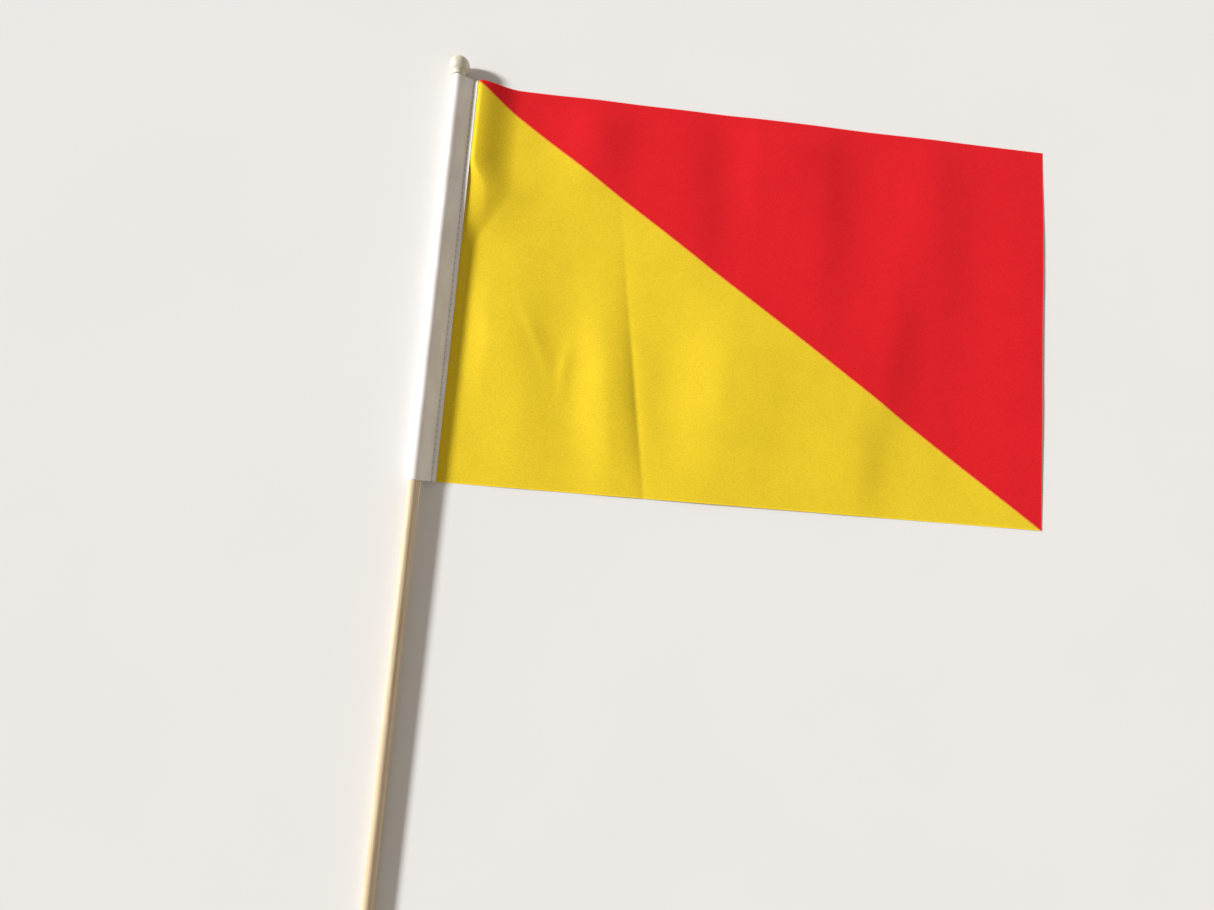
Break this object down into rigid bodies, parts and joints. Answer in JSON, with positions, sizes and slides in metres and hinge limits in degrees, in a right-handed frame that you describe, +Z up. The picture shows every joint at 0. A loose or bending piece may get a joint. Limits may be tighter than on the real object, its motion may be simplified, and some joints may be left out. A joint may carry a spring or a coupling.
{
  "type": "hand signal flag on a stick",
  "caption": "Rectangular cloth hand signal flag, split diagonally red over yellow, on a wooden stick with a white sleeve and a ball finial.",
  "frame": {"origin": "the middle of the flag's footprint, on the surface that it lies on", "axes": "+Z up from that surface, +Y along the stick from its lower end to the ball, +X from the stick towards the fly edge"},
  "size_m": [0.4672, 0.6055, 0.015],
  "materials": {
    "stick_wood": "sanded, unvarnished",
    "finial_plastic": "moulded, glossy",
    "glue": "clear set glue",
    "sleeve_tape": "white woven tape",
    "flag_cloth": "thin printed polyester, red and yellow",
    "thread": "white polyester thread"
  },
  "bodies": {
    "pole": {"stick": "stick_wood", "finial": "finial_plastic", "finial_glue": "glue"},
    "pocket": {"sleeve": "sleeve_tape", "hoist_margin": "flag_cloth", "needle_thread": "thread", "bobbin_thread": "thread"},
    "flag": {"cloth": "flag_cloth"}
  },
  "joints": [
    {"name": "sleeve_swivel", "type": "hinge", "parent": "pole", "child": "pocket", "pos_m": [-0.22608, 0.13675, 0.00657], "axis": [0, -1, -0.0059], "continuous": true},
    {"name": "cloth_fold", "type": "hinge", "parent": "pocket", "child": "flag", "pos_m": [-0.21122, 0.13678, 0.00123], "axis": [0, -1, -0.0059], "range_deg": [-165, 125]}
  ]
}
